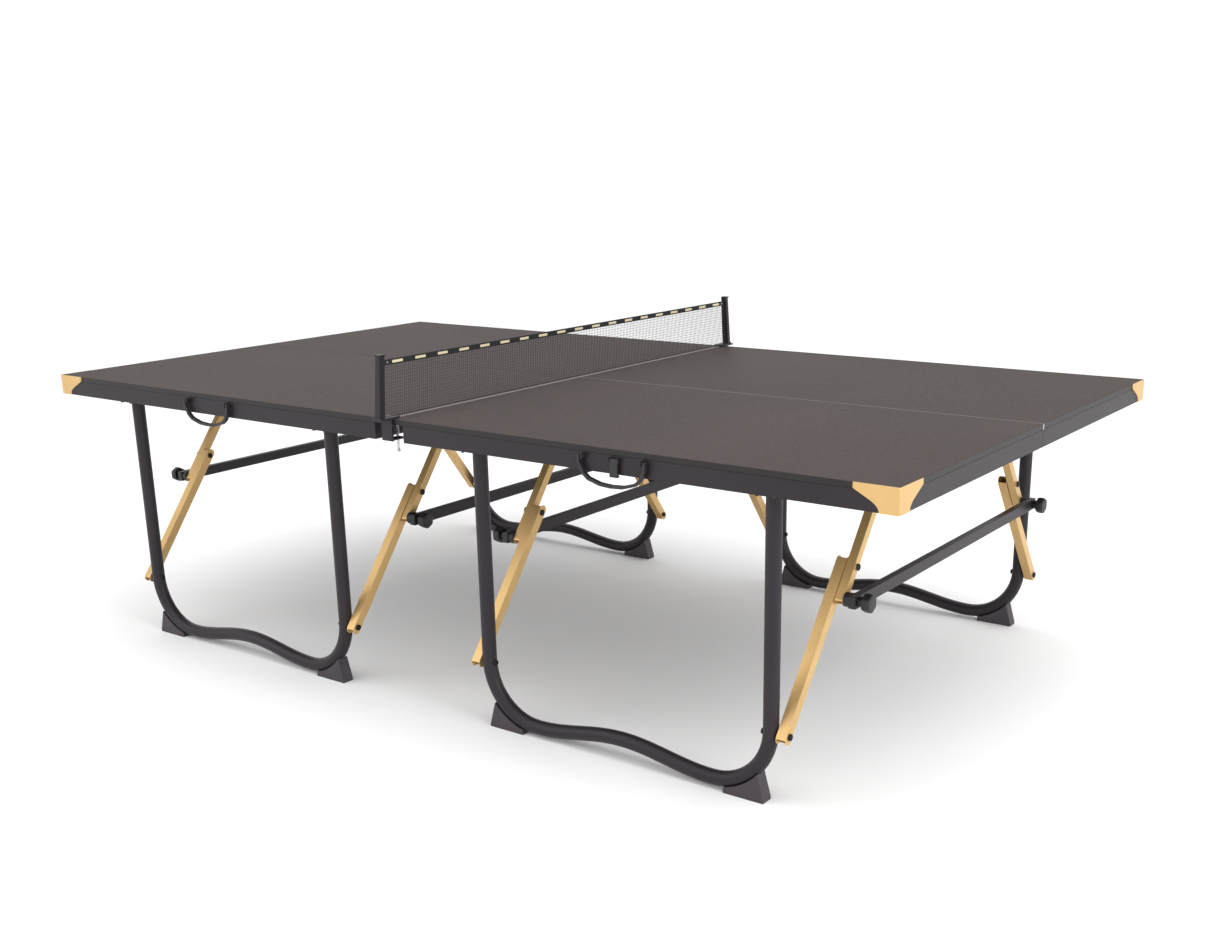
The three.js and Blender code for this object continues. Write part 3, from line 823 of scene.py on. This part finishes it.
def knob():
    """A lobed hand screw at the near right end brace, turned towards the table's end."""
    s = sizes()
    low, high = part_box("hand_screw_near_right_end")
    start = high.x - KNOB_DEPTH
    bpy.ops.object.select_all(action="DESELECT")
    bpy.ops.mesh.primitive_cylinder_add(
        vertices=KNOB_SIDES, radius=s.knob / 2 * KNOB_SWELL, depth=KNOB_DEPTH, location=(0, 0, 0))
    head = bpy.context.object
    step = 2 * math.pi / KNOB_SIDES

    def in_valley(p):
        return round(math.atan2(p.y, p.x) / step) % 2 == 1 and Vector(p[:2]).length > KNOB_AXLE

    pick_points(head, in_valley)
    bpy.ops.transform.resize(value=(KNOB_VALLEY, KNOB_VALLEY, 1), center_override=(0, 0, 0))
    object_mode()
    for up in (1, -1):
        pick_faces(head, lambda c, n: n.z * up > FACING)
        bpy.ops.mesh.inset(thickness=KNOB_RING)
        bpy.ops.mesh.inset(thickness=KNOB_SLOPE, depth=KNOB_CROWN if up > 0 else -KNOB_HOLLOW)
        object_mode()
    apply_modifier(head, "SUBSURF", levels=2, render_levels=2)
    head.rotation_euler = (0, math.pi / 2, 0)
    head.location = (start + KNOB_DEPTH / 2, HUB.y, HUB.z)
    select_only(head)
    bpy.ops.object.transform_apply(location=True, rotation=True, scale=True)
    neck_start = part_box("crossbar_right_end")[1].x + NECK_GAP
    neck = cylinder("neck", NECK_RADIUS, (neck_start, HUB.y, HUB.z),
                    (start + NECK_IN_KNOB, HUB.y, HUB.z))
    pick_faces(neck, lambda c, n: n.x < -FACING)
    bpy.ops.mesh.inset(thickness=NECK_EDGE)
    object_mode()
    soften(neck, width=1 * MM, segments=2)
    stud = cylinder("stud", STUD_RADIUS, (low.x, HUB.y, HUB.z),
                    (neck_start + STUD_IN_NECK, HUB.y, HUB.z))
    soften(stud, width=0.5 * MM, segments=1)
    piece = join("hand_knob_near_right_end", head, neck, stud)
    settle(piece)
    shade(piece, 50)
    return piece


class TABLE_OT_hand_screws(PieceOperator, bpy.types.Operator):
    """The eight lobed hand screws"""

    bl_idname = "table.hand_screws"
    bl_label = "Hand screws"

    def make(self, context):
        plastic = moulded_plastic()
        at_end = knob()
        paint(at_end, plastic)
        at_net = across_frame(at_end, "hand_knob_near_right_net")
        for end, first in zip(ENDS, (at_end, at_net)):
            for side, half in QUARTERS:
                piece = place_quarter(first, "hand_knob", side, half, end)
                fix(piece, f"hand_screw_{side}_{half}_{end}")


def bolt_head(name, place, outward, radius, height):
    """A round-topped bolt head with a round socket, standing on a face."""
    bpy.ops.object.select_all(action="DESELECT")
    bpy.ops.mesh.primitive_cylinder_add(
        vertices=ROUND_SIDES, radius=radius, depth=height, location=(0, 0, height / 2))
    piece = bpy.context.object
    piece.name = name
    bpy.ops.object.transform_apply(location=True, rotation=True, scale=True)
    pick_faces(piece, lambda c, n: n.z > FACING)
    bpy.ops.mesh.inset(thickness=radius * HEAD_RING, depth=height * HEAD_RISE)
    bpy.ops.mesh.inset(thickness=radius * SOCKET_RING, depth=-height * SOCKET_DEPTH)
    object_mode()
    soften(piece, width=min(radius, height) * HEAD_EDGE, segments=2)
    piece.rotation_euler = (0, math.copysign(math.pi / 2, outward), 0)
    piece.location = place
    settle(piece)
    return piece


class TABLE_OT_bolts(PieceOperator, bpy.types.Operator):
    """The bolt heads of the braces, at their elbows and on the legs"""

    bl_idname = "table.bolts"
    bl_label = "Bolts"

    def make(self, context):
        s = sizes()
        black = black_steel()
        upper_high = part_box("upper_link_near_right_end")[1]
        lower_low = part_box("lower_link_near_right_end")[0]
        frame_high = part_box("leg_frame_near_right")[1]
        elbow_y, elbow_z = elbow()
        radius, leg_x = s.bolt_head / 2, PIVOT.x + s.leg_spread / 2
        outer_x = upper_high.x - ELBOW_OUTER[0]
        inner_x = lower_low.x + ELBOW_INNER[0]
        foot_outer_x = frame_high.x - FOOT_OUTER[0]
        foot_inner_x = leg_x - s.leg_tube / 2 + FOOT_INNER[0]
        foot_y, foot_z = BRACE_FOOT.y, BRACE_FOOT.z
        places = {
            "elbow_bolt_outer": ((outer_x, elbow_y, elbow_z), 1, radius, ELBOW_OUTER[1],
                                 "upper_link"),
            "elbow_bolt_inner": ((inner_x, elbow_y, elbow_z), -1, radius, ELBOW_INNER[1],
                                 "lower_link"),
            "brace_bolt": ((foot_outer_x, foot_y, foot_z), 1, radius, FOOT_OUTER[1], "leg_frame"),
            "brace_bolt_inner": ((foot_inner_x, foot_y, foot_z), -1, radius * FOOT_INNER_SHARE,
                                 FOOT_INNER[1], "leg_frame"),
        }
        for word, (place, outward, size, height, kind) in places.items():
            at_end = bolt_head(f"{word}_near_right_end", place, outward, size, height)
            paint(at_end, black)
            at_net = across_frame(at_end, f"{word}_near_right_net")
            for end, first in zip(ENDS, (at_end, at_net)):
                for side, half in QUARTERS:
                    piece = place_quarter(first, word, side, half, end)
                    node = f"{kind}_{side}_{half}"
                    fix(piece, node if kind == "leg_frame" else f"{node}_{end}", False)


def elbow():
    """Where the two links of a brace meet, across the table and up."""
    leg_reach = PIVOT.z - BRACE_FOOT.z
    standing = math.hypot(BRACE_TOP.y - BRACE_FOOT.y, BRACE_TOP.z - BRACE_FOOT.z)
    folded = abs(BRACE_TOP.y - (BRACE_FOOT.y + leg_reach))
    along = (standing - folded) / 2 / standing
    towards = BRACE_FOOT - BRACE_TOP
    return BRACE_TOP.y + towards.y * along, BRACE_TOP.z + towards.z * along


class TABLE_OT_handles(PieceOperator, bpy.types.Operator):
    """The carry handles and the latch"""

    bl_idname = "table.handles"
    bl_label = "Handles and latch"

    def make(self, context):
        plastic = moulded_plastic()
        for half in HALVES:
            node = f"carry_handle_{half}"
            piece = refined(node, f"handle_{half}", bevel=1.8 * MM, segments=3)
            paint(piece, plastic)
            fix(piece, node)
        piece = refined("latch", "latch_clip", bevel=1.0 * MM, segments=3)
        paint(piece, plastic)
        fix(piece, "latch")


class TABLE_OT_net_posts(PieceOperator, bpy.types.Operator):
    """The net's two posts and their clamps"""

    bl_idname = "table.net_posts"
    bl_label = "Net posts"

    def make(self, context):
        coat, zinc = powder_coat(), zinc_plate()
        for side in SIDES:
            piece = merged(f"net_post_{side}", f"post_{side}")
            low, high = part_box("net")
            pick_faces(piece, lambda c, n: max(abs(n.x), abs(n.y)) > 0.9 and abs(c.y) > high.y
                       and low.z + GROOVE_START < c.z < high.z and abs(c.x) < POST_HALF)
            bpy.ops.mesh.inset(thickness=GROOVE_BORDER, depth=0)
            bpy.ops.mesh.inset(thickness=GROOVE_WALL, depth=-GROOVE_DEPTH)
            object_mode()
            soften(piece, width=0.8 * MM, segments=2)
            paint(piece, coat)
            fix(piece, f"net_post_{side}")
            screw = refined(f"clamp_screw_{side}", f"screw_{side}", bevel=0.4 * MM, segments=2)
            paint(screw, zinc)
            fix(screw, f"clamp_screw_{side}")


class TABLE_OT_net(PieceOperator, bpy.types.Operator):
    """The net: a grid of cords, a top band with lacing and rivets, and a hem cord"""

    bl_idname = "table.net"
    bl_label = "Net"

    def make(self, context):
        s = sizes()
        low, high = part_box("net")
        half_length = high.y - NET_GAP

        def reach(z):
            return half_length - s.net_lean * (z - low.z) / (high.z - low.z)

        cloth_top = high.z - s.band_height
        cloth_low = low.z + CLOTH_RISE
        height = cloth_top - cloth_low + CLOTH_TUCK
        bpy.ops.object.select_all(action="DESELECT")
        bpy.ops.mesh.primitive_grid_add(
            x_subdivisions=round(2 * half_length / s.net_pitch),
            y_subdivisions=round(height / s.net_pitch), size=1,
            location=(0, 0, cloth_low + height / 2), rotation=(math.pi / 2, 0, math.pi / 2))
        cloth = bpy.context.object
        cloth.name = "net_cloth"
        cloth.scale = (2 * half_length, height, 1)
        bpy.ops.object.transform_apply(location=True, rotation=True, scale=True)
        for row in sorted({round(p.co.z, 6) for p in cloth.data.vertices}):
            pick_points(cloth, lambda p: abs(p.z - row) < 0.1 * MM)
            bpy.ops.transform.resize(value=(1, reach(row) / half_length, 1),
                                     center_override=(0, 0, row))
            object_mode()
        apply_modifier(cloth, "WIREFRAME", thickness=s.net_cord, use_even_offset=False,
                       use_replace=True, use_boundary=True)
        paint(cloth, net_cord())
        fix(cloth, "net")
        band_end = reach(high.z)
        band = cuboid("net_band", (-BAND_HALF, -band_end, high.z - s.band_height),
                      (BAND_HALF, band_end, high.z))
        soften(band, width=1.2 * MM, segments=3)
        paint(band, weave("net_band_weave", tuple(colours().band), 4200, 500))
        fix(band, "net", False)
        stitches = []
        count = int(2 * band_end / s.dash_pitch)
        z = high.z - s.band_height / 2
        for i in range(count):
            y = (i - (count - 1) / 2) * s.dash_pitch
            for face in (-1, 1):
                inner, outer = (face * reach_out for reach_out in STITCH_FACES)
                piece = cuboid("stitch", (inner, y - s.dash_length / 2, z - STITCH_HALF),
                               (outer, y + s.dash_length / 2, z + STITCH_HALF))
                stitches.append(piece)
        stitch = join("net_band_lacing", *stitches)
        settle(stitch)
        soften(stitch, width=0.4 * MM, segments=2)
        paint(stitch, weave("lacing_weave", tuple(colours().stitch), 3600, 600))
        fix(stitch, "net", False)
        rivets = [cylinder("rivet", RIVET_RADIUS, (face * RIVET_FACES[0], y, z),
                           (face * RIVET_FACES[1], y, z), RIVET_SIDES)
                  for face in (-1, 1) for y in (RIVET_INSET - band_end, band_end - RIVET_INSET)]
        rivet = join("net_band_rivets", *rivets)
        settle(rivet)
        soften(rivet, width=0.3 * MM, segments=2)
        paint(rivet, zinc_plate())
        fix(rivet, "net", False)
        hem = tube("net_hem", [Vector((0, y, cloth_low)) for y in (-half_length, half_length)],
                   HEM_RADIUS, resolution=3)
        settle(hem)
        paint(hem, net_cord())
        shade(hem)
        fix(hem, "net", False)
        flat = (2 * half_length, height)
        0.45 * flat[0] * flat[1]


# ---- stage ------------------------------------------------------------------------------------

class TABLE_OT_stage(PieceOperator, bpy.types.Operator):
    """The floor, the lights and the camera"""

    bl_idname = "table.stage"
    bl_label = "Stage"

    def make(self, context):
        self.floor()
        self.lights()
        self.camera()

    def floor(self):
        bpy.ops.object.select_all(action="DESELECT")
        bpy.ops.mesh.primitive_plane_add(size=FLOOR_SIZE, location=(0, 0, 0))
        floor = bpy.context.object
        floor.name = "floor"
        finish = Finish("pale_floor", FLOOR_COLOUR, roughness=0.8, gloss=0.2)
        paint(floor, finish.material)

    def lights(self):
        world = bpy.data.worlds.new("studio")
        bpy.context.scene.world = world
        world.use_nodes = True
        sky = world.node_tree.nodes["Background"].inputs
        sky["Color"].default_value = (1, 1, 1, 1)
        sky["Strength"].default_value = SKY_STRENGTH
        for name, place, size, power in LAMPS:
            lamp = bpy.data.lights.new(name, "AREA")
            lamp.size = size
            lamp.energy = power
            holder = bpy.data.objects.new(name, lamp)
            bpy.context.scene.collection.objects.link(holder)
            holder.location = place
            aim = Vector(LAMP_AIM) - Vector(place)
            holder.rotation_euler = aim.to_track_quat("-Z", "Y").to_euler()

    def camera(self):
        heading, pitch, roll = (math.radians(a) for a in CAMERA_TURN)
        forward = Vector((math.cos(heading) * math.cos(pitch), math.sin(heading) * math.cos(pitch),
                          math.sin(pitch)))
        level = forward.cross(Vector((0, 0, 1))).normalized()
        upright = level.cross(forward)
        right = level * math.cos(roll) + upright * math.sin(roll)
        up = upright * math.cos(roll) - level * math.sin(roll)
        data = bpy.data.cameras.new("camera")
        data.lens = CAMERA_LENS
        data.sensor_width = CAMERA_SENSOR
        data.shift_x, data.shift_y = CAMERA_SHIFT
        camera = bpy.data.objects.new("camera", data)
        bpy.context.scene.collection.objects.link(camera)
        turn = Matrix((right, up, -forward)).transposed().to_4x4()
        camera.matrix_world = Matrix.Translation(CAMERA_PLACE) @ turn
        bpy.context.scene.camera = camera
        bpy.context.scene.view_settings.view_transform = "Standard"


class TABLE_PT_panel(bpy.types.Panel):
    """Sizes, colours and the steps of the build"""

    bl_idname = "TABLE_PT_panel"
    bl_label = "Ping pong table"
    bl_space_type = "VIEW_3D"
    bl_region_type = "UI"
    bl_category = "Table"

    def draw(self, context):
        for group in (context.scene.table_sizes, context.scene.table_colours):
            column = self.layout.column(align=True)
            for key in group.bl_rna.properties.keys():
                if key not in ("rna_type", "name"):
                    column.prop(group, key)
        for operator in STEPS:
            self.layout.operator(operator.bl_idname)


STEPS = (
    TABLE_OT_stage,
    TABLE_OT_boards,
    TABLE_OT_rims,
    TABLE_OT_corner_guards,
    TABLE_OT_leg_frames,
    TABLE_OT_feet,
    TABLE_OT_links,
    TABLE_OT_crossbars,
    TABLE_OT_hand_screws,
    TABLE_OT_bolts,
    TABLE_OT_handles,
    TABLE_OT_net_posts,
    TABLE_OT_net,
)
CLASSES = (TableSizes, TableColours, *STEPS, TABLE_PT_panel)


def register():
    for entry in CLASSES:
        bpy.utils.register_class(entry)
    bpy.types.Scene.table_sizes = bpy.props.PointerProperty(type=TableSizes)
    bpy.types.Scene.table_colours = bpy.props.PointerProperty(type=TableColours)


def unregister():
    del bpy.types.Scene.table_colours
    del bpy.types.Scene.table_sizes
    for entry in reversed(CLASSES):
        bpy.utils.unregister_class(entry)


def main():
    register()
    for step in STEPS:
        word = step.bl_idname.split(".")[1]
        getattr(bpy.ops.table, word)()


if __name__ == "__main__":
    main()
